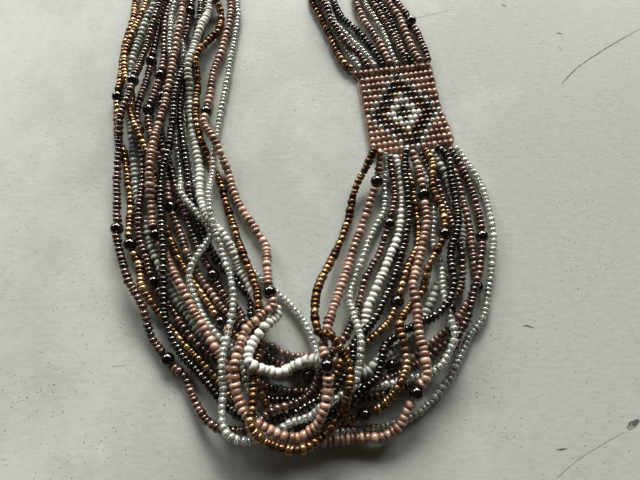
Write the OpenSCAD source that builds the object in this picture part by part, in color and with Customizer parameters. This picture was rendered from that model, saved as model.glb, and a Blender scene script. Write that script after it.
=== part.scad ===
// Necklace of sixteen beaded strands with a woven bead panel, lying flat.
// Millimetres. +X to the right, +Y from the bottom of the loop to the clasp, +Z up from the surface.

/* [Beads] */
// Diameter of the pink and white seed beads
large_bead_d = 2.6; // [2.4:0.05:2.8]
// Diameter of the gold and brown seed beads
medium_bead_d = 2.3; // [2.1:0.05:2.5]
// Diameter of the black and clear seed beads
small_bead_d = 2.1; // [1.9:0.05:2.3]
// Diameter of the dark round beads
dark_bead_d = 4.1; // [3.8:0.05:4.3]
// Diameter of the hole through a dark bead
dark_bead_hole_d = 1.2; // [1.1:0.1:1.6]
// Diameter of the thread inside the dark beads
thread_d = 0.8; // [0.6:0.05:0.9]

/* [Strands] */
// Room kept between two strands that touch
strand_gap = 0.15; // [0.1:0.05:0.3]
// Steepest climb of a strand over its neighbours, height for length
steepest = 0.45; // [0.4:0.05:0.6]
// Room between a strand's end and the panel or the clasp
end_gap = 1; // [0.8:0.1:1.4]

/* [Woven panel] */
// Thickness of the panel, one woven bead
panel_t = 2.4; // [2:0.1:2.6]

/* [Back of the neck] */
// Radius of the bundle's middle round the back
back_r = 38; // [36:1:40]
// Spread of the strands where they meet the clasp
clasp_spread = 23; // [22:0.5:24]
// Diameter of the clasp's barrel
clasp_d = 7; // [6:0.5:8]
// Length of the clasp's barrel
clasp_len = 27; // [26:0.5:30]

/* [Hidden] */
// Place on the table's grid that becomes the origin, the middle of the whole outline
mid = [-8.81, 114.42];

// Middle of the turn round the back, and the height on the grid where the legs begin
back_mid = [-20, 185];
leg_top = 149;
back_arc_steps = 5;
back_leg_steps = 3;

// Corners of the woven panel, from the upper left corner clockwise
panel_corners = [[10.8, 115], [39.8, 118.4], [40.4, 113], [42, 98.5], [45, 85],
    [31, 82.3], [16.4, 80.4], [15, 95.5], [13, 111.5], [10.6, 112.6]];
// Ends of the panel's lower and upper edges where the strands' threads come out
lower_edge = [[17.4, 80.5], [44, 84.8]];
upper_edge = [[12, 115.2], [38.8, 118.3]];
lower_slots = 16;
upper_slots = 11;
left_slots = 16;
right_slots = 11;

tube_sides = 8;
// Room for the slope where strands cross, and the most that one end alone is lifted for a touch along a stretch
lean = sqrt(1 + steepest * steepest);
near_lift = 0.8;
// Share of the reach within which a point lies on a neighbour and isn't pushed aside
on_top = 0.4;
// Share of a shortfall made up in each round of settling, and the number of rounds
settle = 1.1;
settle_rounds = 3;
// Number of the lowest runs, which give way sideways to their neighbours; the others lie where they fall
low_runs = 10;
collar_d = 7.8;
collar_w = 1.4;
// Half the length of thread that shows at a dark bead, and the taper at its ends
bare = dark_bead_d / 2 + 0.2;
taper = 0.06;

// Colours of the strands
gold = "peru";
brown = "saddlebrown";
pink = "rosybrown";
white = "ivory";
black = "dimgray";
clear = "lightgray";

// Columns of a run: node, bead diameter, colour, slot at the clasp on the left or 0,
// slot on the panel's lower edge or 0, slot on its upper edge or 0, slot at the clasp on the right or 0, route
NODE = 0; BEAD_D = 1; COLOUR = 2; LEFT = 3; LOWER = 4; UPPER = 5; RIGHT = 6; ROUTE = 7;

// Routes on the table, from the left leg down, round the bottom and up to the panel.
// Columns of a route: x, y, and 1 where a dark bead sits.
pink_brown_route = [
    [-56, 149], [-57.6, 140], [-57.2, 130], [-56.2, 121], [-56.5, 113, 1], [-58, 105.5], [-59, 98.5, 1],
    [-57.5, 90], [-53.5, 80.5], [-50, 71.5], [-47.5, 62, 1], [-44, 54], [-40.5, 46], [-35.5, 38], [-29.5, 30.5],
    [-24, 25], [-19, 21.5], [-14, 18.5], [-9, 16], [-4, 15.5], [2, 14.6], [8, 13.4], [14, 12.4],
    [20.4, 13, 1], [28, 16.5], [35, 21.5], [41, 27.5], [47, 36, 1], [47, 46], [46.8, 56], [45.5, 66], [43.8, 75]];
brown_inner_route = [
    [-48.8, 149], [-48.8, 142, 1], [-49.5, 132], [-51.5, 121], [-52.5, 112], [-54.7, 104, 1], [-55, 95],
    [-53, 85], [-49, 75], [-45.5, 66], [-42, 58], [-38, 49], [-32.3, 39.5, 1], [-28, 32.5], [-24, 27],
    [-19.5, 20], [-15, 15.6], [-11, 13.2], [-7, 11.8], [-3, 10.4, 1], [2.5, 9], [8, 8], [13.5, 8.5],
    [20, 10.5], [27.5, 14], [34.5, 19.5], [41, 26.5], [45, 33.5], [47.5, 41], [49.7, 52, 1], [50.3, 61],
    [48.5, 70], [46, 78]];
white_outer_route = [
    [-61.5, 149], [-64, 140], [-66, 130], [-67.5, 120], [-67.6, 110], [-66.3, 100], [-63.8, 91], [-62, 82],
    [-60.2, 73], [-57.8, 63], [-54, 54], [-50.5, 45.5], [-45, 36], [-38.5, 27], [-33, 20.5], [-27, 16.5],
    [-21.5, 14], [-16.5, 12.2], [-10.5, 11.2], [-4, 13.8], [2, 12.6], [8, 10.6], [13.5, 10.6], [18.7, 14.2],
    [23.5, 18.5], [28, 22], [31.5, 28.5], [36, 37], [42, 44.5], [45.5, 53], [43.2, 63.5], [41, 73.5]];
brown_second_route = [
    [-57.5, 149], [-59.3, 140], [-60.3, 130], [-60.5, 119, 1], [-61.5, 109], [-62, 99], [-61.5, 89.5, 1],
    [-58.5, 81], [-57.5, 71], [-56.5, 61], [-54.5, 52], [-52, 44], [-49.7, 37.6, 1], [-44, 29.5], [-37.5, 21.5],
    [-31, 16.5], [-25.5, 13.5], [-20, 10], [-15, 7.4], [-9.5, 6.3], [-4, 6], [2, 5.4], [8, 4.6], [14, 4.4],
    [20.5, 6], [28, 9], [35, 14.5], [38.6, 20.5], [40.8, 27, 1], [42, 36], [42.8, 44], [42, 53], [40, 62.5],
    [38, 71], [35.5, 76.5]];
clear_outer_route = [
    [-53.2, 149], [-52.5, 140], [-52, 131], [-50.5, 122], [-48.5, 112], [-47.5, 102], [-46.5, 92], [-44.5, 82],
    [-42, 73], [-38.5, 65], [-34, 58], [-29, 51.5], [-23.5, 45], [-18, 38.5], [-11.5, 33.5], [-6.5, 28],
    [-3, 22.5], [-1.5, 17], [1, 12], [5.5, 8], [11, 6.4], [17.5, 8], [25, 9], [31.8, 11.5], [36, 20],
    [36.8, 30], [37, 41], [35.2, 50.5], [36.2, 61], [35, 71]];
gold_outer_route = [
    [-70, 149], [-69.6, 140], [-70.6, 132], [-71, 123], [-70.5, 113], [-70, 104, 1], [-69.6, 96], [-68, 88],
    [-64.8, 80], [-62.2, 71.5], [-59.6, 62.5], [-57.2, 49.8, 1], [-55, 43], [-52, 35.5], [-47, 28], [-41, 21],
    [-35, 15.5], [-30, 10.5], [-25, 5], [-21, 0.8], [-16, -1.8], [-10, -2.4], [-4, -2.4], [2, -2.2],
    [7, -1.6], [12, -0.1, 1], [17.3, 3.4], [21.1, 7.8], [22.8, 14], [22.8, 23], [26.3, 29.8], [30.7, 35],
    [32.3, 41.2], [37.9, 51.2, 1], [38.2, 61], [37.5, 70], [36.7, 77]];
gold_inner_route = [
    [-66, 149], [-67.6, 140], [-68.8, 131], [-69.2, 121], [-67.8, 111], [-65.5, 101], [-62.2, 91], [-57, 80],
    [-52.5, 70], [-49, 60], [-45.5, 49], [-41, 41], [-34.5, 33.5], [-27.7, 26.5, 1], [-23, 20], [-19.5, 13.5],
    [-17, 7.5], [-13.5, 2.5], [-9, 0], [-4.5, 0.8], [-1, 3.4], [1.8, 6.8], [4.3, 11], [6.5, 15], [10, 17.8],
    [14.5, 20.5], [20, 25.5], [23, 31.5, 1], [26, 40.5], [30.5, 50.5], [30.5, 61], [29.3, 71]];
clear_middle_route = [
    [-54.9, 149], [-55, 140], [-54.2, 131], [-52.5, 122], [-51, 112], [-50, 102], [-49, 92], [-47.5, 82],
    [-46, 73], [-43.2, 65], [-37.8, 58.5], [-34.3, 51.5], [-37, 44.8], [-38.7, 39], [-35.3, 32], [-30.2, 24],
    [-26, 18], [-22, 12.5], [-19.3, 7], [-18, 1.5], [-15, -3], [-9.5, -4.8], [-3, -4.9], [3.5, -4.6],
    [10, -4], [17, -3], [23, -1.5], [27.5, 0.8], [32, 4.5], [37, 10.5], [39.8, 15], [43.5, 21.5], [48.3, 27.5],
    [50.8, 36], [52.5, 45], [53.8, 54], [53.5, 63], [51.8, 72], [48, 79.5]];
black_inner_route = [
    [-43, 149], [-43.5, 139], [-44, 130], [-45.5, 121], [-46.5, 112], [-47.6, 103], [-47.5, 94], [-45.6, 85],
    [-43.2, 75.5], [-41, 66], [-37.5, 55], [-32.7, 46], [-26.8, 39.5], [-21, 33], [-19.9, 27], [-19, 20],
    [-18.2, 13], [-16.6, 6.8], [-13.5, 3.9], [-8.5, 3.8], [-3, 1.8], [2.5, 0.5], [7, 1.5], [10.8, 5.6], [14.2, 10],
    [17, 14.4], [19, 18.8], [25.5, 22.3], [32.5, 27.5], [38, 35], [41, 44], [42.3, 53], [43, 62], [43.5, 71],
    [42, 79]];
pink_outer_route = [
    [-51, 149], [-50.5, 139], [-50.5, 129], [-51, 118], [-51.5, 108], [-52.2, 98], [-53.6, 89], [-53.6, 80],
    [-53.2, 70.5], [-52.4, 61], [-50.3, 51.8, 1], [-46.2, 44], [-41.2, 36], [-35.7, 27.5], [-31, 20],
    [-27, 14.5], [-24.5, 9], [-22, 3.5], [-19, -1.5], [-14.5, -5.5], [-8.5, -7.2], [-2, -7.2], [4.5, -6.4],
    [11, -6], [16.5, -5.5], [21.3, -2.8], [25.9, 5.4, 1], [28.5, 10], [28.3, 16], [27, 22.5], [27.6, 29],
    [27, 35.5], [30.7, 46.5], [33.2, 56], [33, 66, 1], [31.7, 76]];
black_outer_route = [
    [-44.8, 149], [-44.4, 140], [-44.9, 130], [-46.7, 120], [-47.8, 111], [-49, 102], [-48.6, 92], [-49, 82],
    [-50.2, 73], [-49.8, 64], [-48, 54], [-46.4, 44], [-45.8, 34], [-43.9, 24.2], [-39, 16], [-33.3, 10.3],
    [-28, 5], [-24, 1.4], [-18.5, -0.8], [-12.5, -0.8], [-7, 0.4], [-2, 2.6], [3, 5.2], [6.2, 9],
    [9, 14], [9.6, 18.5], [14.5, 24.3], [20, 33.5], [24.2, 44], [27.2, 54], [27.9, 64.5], [27.2, 74]];
brown_outer_route = [
    [-58.8, 149], [-60.3, 139], [-61.3, 129], [-62.5, 119], [-63.2, 106, 1], [-63, 99.5], [-65, 91],
    [-65.8, 82.5], [-65.6, 74], [-64.6, 65], [-62.7, 54, 1], [-60.3, 46], [-56.8, 38], [-51.8, 30], [-49, 21.5],
    [-43.3, 14.8, 1], [-38.2, 10], [-35, 4], [-31.3, -1], [-26.3, -3.6], [-21, -4], [-16.8, -2.8],
    [-12.4, 0.6], [-7.8, 2.4], [-3.6, 4.6], [-1, 8], [1.3, 12.8], [4.4, 18], [7.8, 22], [11, 29.3],
    [13.6, 38], [18.5, 46.8], [21.7, 56, 1], [24, 66], [23.4, 74.5]];
gold_loop_left_route = [
    [-39.5, 149], [-37.2, 141.5], [-37.5, 134], [-41, 126], [-42.5, 117], [-42.5, 107.5], [-42.3, 98],
    [-40.5, 88.5], [-37, 80], [-32.8, 71.5], [-29.5, 62], [-26.3, 53], [-22.8, 44.5], [-19.1, 36], [-17.8, 31.5],
    [-17.4, 26.5]];
gold_loop_turn_route = [[-17.1, 24.5], [-16.4, 19.5], [-16.5, 14.5], [-17.3, 10.8], [-17.5, 8.5]];
white_loop_route = [
    [-41, 149], [-41.5, 140], [-43, 131], [-44.5, 122], [-45.3, 113], [-45, 104], [-43.8, 94], [-41.5, 84],
    [-39.3, 74.5], [-38, 65], [-34, 56.5], [-28, 49.5], [-24.8, 42], [-21.7, 37.4], [-18.8, 32.5], [-16.8, 29.3],
    [-13, 28.8], [-12, 26.3], [-15.1, 22.5], [-18.1, 18.5], [-19.2, 14.2], [-17, 11.8], [-11, 10.5], [-7.6, 12],
    [-3.2, 13.6], [1.5, 13.4]];
white_loop_right_route = [
    [2.8, 17], [7, 16.4], [10.3, 17], [12, 20.5], [13.3, 25], [14.2, 30], [16.6, 35], [20.3, 43],
    [24.3, 52.5], [26, 62], [26.6, 72]];
clear_loop_route = [
    [-31.8, 149], [-30.7, 140], [-31.3, 130], [-32.3, 121], [-33, 111], [-34, 101], [-34.8, 91], [-35, 82],
    [-34.7, 73], [-34.3, 64], [-32.3, 55], [-29.3, 45.5], [-26, 37], [-25, 28.5], [-26.2, 20], [-26.6, 13.5],
    [-26.1, 7], [-25.7, 1], [-23.9, -4.5], [-18.5, -6.3], [-12.5, -4.6], [-7.2, -1.8], [-2.4, -0.6], [0.4, 2],
    [4, 3.7], [8.4, 6.4], [10.5, 11.5], [11.2, 18.5], [9.6, 26.5], [8.6, 32], [9.8, 37], [12.2, 43],
    [16, 52.5], [20.5, 62], [21, 72]];
pink_loop_route = [
    [-34, 149], [-33.5, 141], [-34.5, 131], [-36, 122], [-38, 113], [-38.5, 104.5], [-38.7, 97, 1],
    [-38.5, 91], [-33.5, 82.5], [-30, 74], [-26.5, 64.5], [-20.3, 54.5], [-16.8, 49], [-15.8, 42], [-14.2, 32.6, 1],
    [-12.7, 28.6], [-16.8, 24.8], [-20.7, 20.8], [-22.2, 13], [-21.8, 6.2], [-19.2, 0.4], [-15.4, -2.2],
    [-11, -4.3], [-6, -5.5], [-1.5, -3.2], [1.2, 1.2], [2.1, 6], [1.8, 11.6, 1], [1, 17.3], [3.1, 26],
    [6.2, 35.3], [9.8, 46.5], [13.8, 57.5], [18.2, 70.5, 1]];
gold_loop_right_route = [
    [-17.5, 7.8], [-17, 1.5], [-16.9, -2.8], [-14, -5.9], [-9.5, -7.8], [-4.5, -8], [0, -5.9], [3.6, -2.5],
    [6.4, 1.6], [7.5, 6.5], [7.6, 11.6], [5.4, 15.8], [2.7, 19.3], [-0.6, 20.4], [-1.5, 28], [0.1, 36],
    [4.8, 46.5], [8.7, 57.5], [11.5, 68.5]];

// Routes above the panel, from its upper edge to the right leg's top
upper_gold_route = [[9.5, 117.5], [6, 124], [3.2, 132], [0.2, 139.5], [-3.2, 149]];
upper_clear_low_route = [[11, 122], [7, 130], [3.5, 138.5], [0.2, 149]];
upper_brown_low_route = [[15, 121.5], [9, 127], [4, 133.5], [0.5, 141], [-1.5, 149]];
upper_clear_route = [[17, 122], [11.5, 129.5], [5.4, 136], [2, 149]];
upper_black_low_route = [[19.8, 123.5], [14.5, 132], [8, 140], [5, 149]];
upper_pink_low_route = [[23.6, 122.5], [20.5, 130.5], [16, 139], [13.5, 149]];
upper_clear_high_route = [[26.3, 122.5], [24, 131.5], [20.5, 139.5], [16.5, 149]];
upper_brown_route = [[29, 122.5], [26.5, 130.5], [22.5, 140], [19.3, 149]];
upper_black_route = [[30.6, 122.5], [28.2, 131.5], [26, 139.5], [21.5, 149]];
upper_pink_route = [[34, 123.5], [31.6, 132], [29.5, 140], [25.5, 149]];
upper_brown_high_route = [[38, 124.5], [36.2, 131], [33.7, 137.5, 1], [28.8, 149]];

// The runs in the order in which they lie on each other, lowest first
RUNS = [
    ["pink_brown", medium_bead_d, pink, 5, 14, 0, 0, pink_brown_route],
    ["brown_inner", medium_bead_d, brown, 11, 15, 0, 0, brown_inner_route],
    ["white_outer", large_bead_d, white, 3, 12, 0, 0, white_outer_route],
    ["white_loop", large_bead_d, white, 0, 5, 0, 0, white_loop_right_route],
    ["brown_second", medium_bead_d, brown, 7, 10, 0, 0, brown_second_route],
    ["clear_outer", small_bead_d, clear, 9, 9, 0, 0, clear_outer_route],
    ["black_inner", small_bead_d, black, 13, 13, 0, 0, black_inner_route],
    ["gold_outer", medium_bead_d, gold, 1, 11, 0, 0, gold_outer_route],
    ["gold_inner", medium_bead_d, gold, 2, 6, 0, 0, gold_inner_route],
    ["clear_middle", small_bead_d, clear, 6, 16, 0, 0, clear_middle_route],
    ["pink_outer", large_bead_d, pink, 8, 8, 0, 0, pink_outer_route],
    ["black_outer", small_bead_d, black, 12, 7, 0, 0, black_outer_route],
    ["brown_outer", medium_bead_d, brown, 4, 4, 0, 0, brown_outer_route],
    ["gold_loop_left", medium_bead_d, gold, 0, 0, 0, 0, gold_loop_turn_route],
    ["white_loop", large_bead_d, white, 10, 0, 0, 0, white_loop_route],
    ["gold_loop_left", medium_bead_d, gold, 15, 0, 0, 0, gold_loop_left_route],
    ["clear_loop", small_bead_d, clear, 16, 3, 0, 0, clear_loop_route],
    ["pink_loop", large_bead_d, pink, 14, 2, 0, 0, pink_loop_route],
    ["gold_loop_right", medium_bead_d, gold, 0, 1, 0, 0, gold_loop_right_route],
    ["gold_loop_right", medium_bead_d, gold, 0, 0, 1, 1, upper_gold_route],
    ["clear_loop", small_bead_d, clear, 0, 0, 2, 3, upper_clear_low_route],
    ["clear_outer", small_bead_d, clear, 0, 0, 4, 4, upper_clear_route],
    ["black_inner", small_bead_d, black, 0, 0, 5, 5, upper_black_low_route],
    ["clear_middle", small_bead_d, clear, 0, 0, 7, 7, upper_clear_high_route],
    ["black_outer", small_bead_d, black, 0, 0, 9, 9, upper_black_route],
    ["brown_outer", medium_bead_d, brown, 0, 0, 3, 2, upper_brown_low_route],
    ["pink_loop", large_bead_d, pink, 0, 0, 6, 6, upper_pink_low_route],
    ["brown_second", medium_bead_d, brown, 0, 0, 8, 8, upper_brown_route],
    ["pink_outer", large_bead_d, pink, 0, 0, 10, 10, upper_pink_route],
    ["brown_inner", medium_bead_d, brown, 0, 0, 11, 11, upper_brown_high_route]];

function ease(t) = t * t * (3 - 2 * t);
function mix(a, b, t) = a + (b - a) * t;
function clip(t) = min(1, max(0, t));
function unit(v) = v / norm(v);

// Where a run's thread meets an edge of the panel, outside it by the end gap
function on_edge(edge, slot, slots, out) = let (
    along = edge[1] - edge[0],
    normal = unit([-along.y, along.x]))
    edge[0] + along * (slot - 1) / (slots - 1) + normal * out * end_gap;

// Points round the back on one side (-1 left, 1 right), from the clasp to the leg's top at leg_x
function back_points(side, slot, slots, leg_x) = let (
    slot_r = back_r + clasp_spread * (0.5 - (slot - 1) / (slots - 1)) * -side,
    leg_r = side * (leg_x - back_mid.x),
    arc = back_r * PI / 2,
    whole = arc + back_mid.y - leg_top)
    concat(
        [back_mid + [side * (clasp_d / 2 + end_gap), slot_r]],
        [for (k = [1:back_arc_steps]) let (
            turn = 90 * k / back_arc_steps,
            r = mix(slot_r, leg_r, ease(arc * k / back_arc_steps / whole)))
            back_mid + r * [side * sin(turn), cos(turn)]],
        [for (k = [1:back_leg_steps - 1]) let (
            down = (back_mid.y - leg_top) * k / back_leg_steps,
            r = mix(slot_r, leg_r, ease((arc + down) / whole)))
            back_mid + [side * r, -down]]);

function reversed(list) = [for (k = [len(list) - 1:-1:0]) list[k]];

// The whole plan of a run, point by point
function plan(run) = let (route = run[ROUTE]) concat(
    run[LEFT] > 0 ? back_points(-1, run[LEFT], left_slots, route[0].x) : [],
    run[UPPER] > 0 ? [on_edge(upper_edge, run[UPPER], upper_slots, 1)] : [],
    route,
    run[LOWER] > 0 ? [on_edge(lower_edge, run[LOWER], lower_slots, -1)] : [],
    run[RIGHT] > 0 ? reversed(back_points(1, run[RIGHT], right_slots, route[len(route) - 1].x)) : []);

// Plan with each dark bead's point opened into the two ends of the stretch it takes: x, y, bead on the next stretch
function opened(points) = [for (k = [0:len(points) - 1]) let (p = points[k], here = [p.x, p.y])
    each p[2] == 1 ? let (
        before = points[k - 1],
        after = points[k + 1],
        way = [after.x - before.x, after.y - before.y],
        step = unit(way) * bare)
        [[here.x - step.x, here.y - step.y, 1], [here.x + step.x, here.y + step.y, 0]]
        : [[here.x, here.y, 0]]];

// Columns of a stretch: first end, second end, heights there, radius, middle, half length
A = 0; B = 1; ZA = 2; ZB = 3; R = 4; MIDDLE = 5; HALF = 6;
function stretch(a, b, za, zb, r) = [a, b, za, zb, r, (a + b) / 2, norm(b - a) / 2];

// Where along a stretch a point is nearest to it, from 0 to 1
function nearest(p, a, b) = clip((p - a) * (b - a) / ((b - a) * (b - a)));

// Height of a touch at distance d sideways from a strand at height z, nothing where it is clear
function rest(z, d, reach) = d < reach ? z + sqrt(reach * reach - d * d) : 0;

// What a touch at height h, part t along a stretch, asks of its two ends
function lift(h, t, length) = h == 0 ? [0, 0]
    : t * length * steepest < near_lift ? [h + t * length * steepest, 0]
    : (1 - t) * length * steepest < near_lift ? [0, h + (1 - t) * length * steepest]
    : [h, h];

function higher(p, q) = [max(p[0], q[0]), max(p[1], q[1])];

// Heights that a laid stretch asks of the two ends of a new one
function climb(new, old) = let (
    reach = new[R] + old[R] + strand_gap,
    length = 2 * new[HALF],
    u = new[B] - new[A],
    v = old[B] - old[A],
    w = old[A] - new[A],
    turn = u.x * v.y - u.y * v.x,
    s = turn == 0 ? -1 : (w.x * v.y - w.y * v.x) / turn,
    t = turn == 0 ? -1 : (w.x * u.y - w.y * u.x) / turn,
    at_a = nearest(new[A], old[A], old[B]),
    at_b = nearest(new[B], old[A], old[B]),
    from_a = nearest(old[A], new[A], new[B]),
    from_b = nearest(old[B], new[A], new[B]))
    higher(
        higher(
            s >= 0 && s <= 1 && t >= 0 && t <= 1
                ? lift(mix(old[ZA], old[ZB], t) + reach * lean, s, length) : [0, 0],
            [rest(mix(old[ZA], old[ZB], at_a), norm(new[A] - mix(old[A], old[B], at_a)), reach),
                rest(mix(old[ZA], old[ZB], at_b), norm(new[B] - mix(old[A], old[B], at_b)), reach)]),
        higher(
            lift(rest(old[ZA], norm(old[A] - mix(new[A], new[B], from_a)), reach), from_a, length),
            lift(rest(old[ZB], norm(old[B] - mix(new[A], new[B], from_b)), reach), from_b, length)));

// Distance between two stretches in space
function apart(a, b, c, d) = let (
    u = b - a,
    v = d - c,
    w = a - c,
    whole = (u * u) * (v * v) - (u * v) * (u * v),
    s = whole < 0.0001 ? 0.5 : clip(((u * v) * (v * w) - (v * v) * (u * w)) / whole),
    t = clip(((u * v) * s + v * w) / (v * v)))
    norm(w + u * clip(((u * v) * t - u * w) / (u * u)) - v * t);

// How much closer than it may be a new stretch comes to the laid ones near it, with its ends at these heights
function shortfall(new, za, zb, near) = max([0, for (old = near)
    new[R] + old[R] + strand_gap
        - apart([new[A].x, new[A].y, za], [new[B].x, new[B].y, zb],
            [old[A].x, old[A].y, old[ZA]], [old[B].x, old[B].y, old[ZB]])]);

// No point lower than the climb allows from the point before it, walking up a list of heights
function eased_up(z, gaps, k = 1, done = []) = let (list = k == 1 ? [z[0]] : done)
    k == len(z) ? list
        : eased_up(z, gaps, k + 1, concat(list, [max(z[k], list[k - 1] - steepest * gaps[k - 1])]));

// Sideways push on a point from a laid stretch that it nearly clears
function push(p, old, reach) = norm(p - old[MIDDLE]) > old[HALF] + reach ? [0, 0] : let (
    off = p - mix(old[A], old[B], nearest(p, old[A], old[B])),
    d = norm(off))
    d > on_top * reach && d < reach ? off / d * (reach - d) : [0, 0];

function longest(list, k = 0, best = [0, 0]) = k == len(list) ? best
    : longest(list, k + 1, norm(list[k]) > norm(best) ? list[k] : best);

// Points of a route moved aside, where that lets the run lie beside a neighbour and not on it
function nudged(points, r, laid) = [for (p = points) let (
    here = [p.x, p.y],
    own_r = p[2] == 1 ? dark_bead_d / 2 : r,
    pushes = [for (old = laid) push(here, old, own_r + old[R] + strand_gap)],
    moved = here + longest(pushes))
    [moved.x, moved.y, p[2]]];

// Heights evened out so that no climb is too steep on either side
function eased(z, gaps) = reversed(eased_up(reversed(eased_up(z, gaps)), reversed(gaps)));

// Heights raised a few times more where slopes still bring a run too close to the laid ones
function settled(z, gaps, new, near, rounds) = rounds == 0 ? z : let (
    last = len(gaps) - 1,
    short = [for (k = [0:last]) shortfall(new[k], z[k], z[k + 1], near[k])])
    settled(
        eased([for (k = [0:last + 1]) z[k] + settle * max(short[max(0, k - 1)], short[min(last, k)])], gaps),
        gaps, new, near, rounds - 1);

// The part of a stretch that counts as solid: the middle of it where a dark bead sits, else all of it
function core(a, b, bead) = bead == 1 ? [mix(a, b, 0.47), mix(a, b, 0.53)] : [a, b];

function stretches(run, points) = [for (k = [0:len(points) - 2]) let (
    ends = core([points[k].x, points[k].y, points[k].z], [points[k + 1].x, points[k + 1].y, points[k + 1].z], points[k][3]))
    stretch([ends[0].x, ends[0].y], [ends[1].x, ends[1].y], ends[0].z, ends[1].z,
        (points[k][3] == 1 ? dark_bead_d : run[BEAD_D]) / 2)];

// A run laid on what is there: x, y, z, bead on the next stretch
function laid_run(run, laid, gives_way) = let (
    r = run[BEAD_D] / 2,
    points = opened(gives_way ? nudged(nudged(plan(run), r, laid), r, laid) : plan(run)),
    last = len(points) - 1,
    new = stretches(run, [for (p = points) [p.x, p.y, 0, p[2]]]),
    near = [for (one = new) [for (old = laid)
        if (norm(one[MIDDLE] - old[MIDDLE]) < one[HALF] + old[HALF] + one[R] + old[R] + strand_gap) old]],
    asked = [for (k = [0:last - 1]) let (lifts = [for (old = near[k]) climb(new[k], old)])
        [max([new[k][R], for (lift = lifts) lift[0]]), max([new[k][R], for (lift = lifts) lift[1]])]],
    raised = [for (k = [0:last]) max(asked[max(0, k - 1)][k == 0 ? 0 : 1], asked[min(last - 1, k)][k == last ? 1 : 0])],
    filled = [for (k = [0:last]) max(raised[k], min(raised[max(0, k - 1)], raised[min(last, k + 1)]))],
    gaps = [for (k = [0:last - 1]) norm([points[k + 1].x - points[k].x, points[k + 1].y - points[k].y])],
    z = settled(eased(filled, gaps), gaps, new, near, settle_rounds))
    [for (k = [0:last]) [points[k].x, points[k].y, z[k], points[k][2]]];

// All runs laid in turn
function lay(k = 0, laid = [], done = []) = k == len(RUNS) ? done : let (
    points = laid_run(RUNS[k], laid, k < low_runs || RUNS[k][UPPER] > 0))
    lay(k + 1, concat(laid, stretches(RUNS[k], points)), concat(done, [points]));

LAID = lay();

// Every dark bead: its middle and the way its hole runs
DARK_BEADS = [for (points = LAID) for (k = [0:len(points) - 2]) if (points[k][3] == 1) let (
    a = [points[k].x, points[k].y, points[k].z],
    b = [points[k + 1].x, points[k + 1].y, points[k + 1].z])
    [(a + b) / 2, b - a]];

function bead_node(k) = str("dark_bead_", k + 1);

STRANDS = [for (k = [0:len(RUNS) - 1]) if (search([RUNS[k][NODE]], RUNS)[0] == k) RUNS[k][NODE]];

// Rings of a run's tube: middle and radius, thinned to the thread inside each dark bead
function rings(points, r) = [for (k = [0:len(points) - 1]) let (
    p = [points[k].x, points[k].y, points[k].z],
    opens = points[k][3] == 1,
    closes = k > 0 && points[k - 1][3] == 1,
    other = opens ? points[k + 1] : closes ? points[k - 1] : points[k],
    way = [other.x, other.y, other.z] - p)
    each opens ? [[p, r], [p + unit(way) * taper, thread_d / 2]]
        : closes ? [[p + unit(way) * taper, thread_d / 2], [p, r]]
        : [[p, r]]];

// The way a tube runs at one of its rings, halfway between the stretches on both sides
function heading(list, k) = let (
    before = list[max(0, k - 1)][0],
    here = list[k][0],
    after = list[min(len(list) - 1, k + 1)][0])
    k == 0 ? unit(after - here)
        : k == len(list) - 1 ? unit(here - before)
        : unit(unit(after - here) + unit(here - before));

// Corners of one ring, square to the way the tube runs there
function ring(middle, way, r) = let (
    side = unit([-way.y, way.x, 0]),
    up = cross(way, side))
    [for (k = [0:tube_sides - 1]) let (turn = 360 * (k + 0.5) / tube_sides)
        middle + r * (cos(turn) * side + sin(turn) * up)];

module tube(points, r) {
    list = rings(points, r);
    last = len(list) - 1;
    corners = [for (k = [0:last]) each ring(list[k][0], heading(list, k), list[k][1])];
    sides = [for (k = [0:last - 1]) for (n = [0:tube_sides - 1]) let (
        a = k * tube_sides + n,
        b = k * tube_sides + (n + 1) % tube_sides)
        each [[a, a + tube_sides, b], [b, a + tube_sides, b + tube_sides]]];
    start = [for (n = [0:tube_sides - 1]) n];
    finish = [for (n = [tube_sides - 1:-1:0]) last * tube_sides + n];
    polyhedron(corners, concat([start, finish], sides));
}

module strand(name) {
    for (k = [0:len(RUNS) - 1])
        if (RUNS[k][NODE] == name)
            color(RUNS[k][COLOUR]) tube(LAID[k], RUNS[k][BEAD_D] / 2);
}

module dark_bead(bead) {
    way = unit(bead[1]);
    color("black") translate(bead[0]) rotate([0, acos(way.z), atan2(way.y, way.x)]) difference() {
        sphere(d = dark_bead_d, $fn = 48);
        cylinder(d = dark_bead_hole_d, h = 2 * dark_bead_d, center = true, $fn = 24);
    }
}

module woven_panel() {
    color("tan") linear_extrude(panel_t) polygon(panel_corners);
}

// Plain barrel across the ends of all the strands, with a collar at each end
module clasp() {
    color("silver") translate([back_mid.x, back_mid.y + back_r, collar_d / 2]) rotate([90, 0, 0]) {
        cylinder(d = clasp_d, h = clasp_len, center = true, $fn = 48);
        for (side = [-1, 1])
            translate([0, 0, side * (clasp_len + collar_w) / 2])
                cylinder(d = collar_d, h = collar_w, center = true, $fn = 48);
    }
}

translate([-mid.x, -mid.y, 0]) {
    for (name = STRANDS)
        strand(name);
    for (k = [0:len(DARK_BEADS) - 1])
        dark_bead(DARK_BEADS[k]);
    woven_panel();
    clasp();
}
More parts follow.
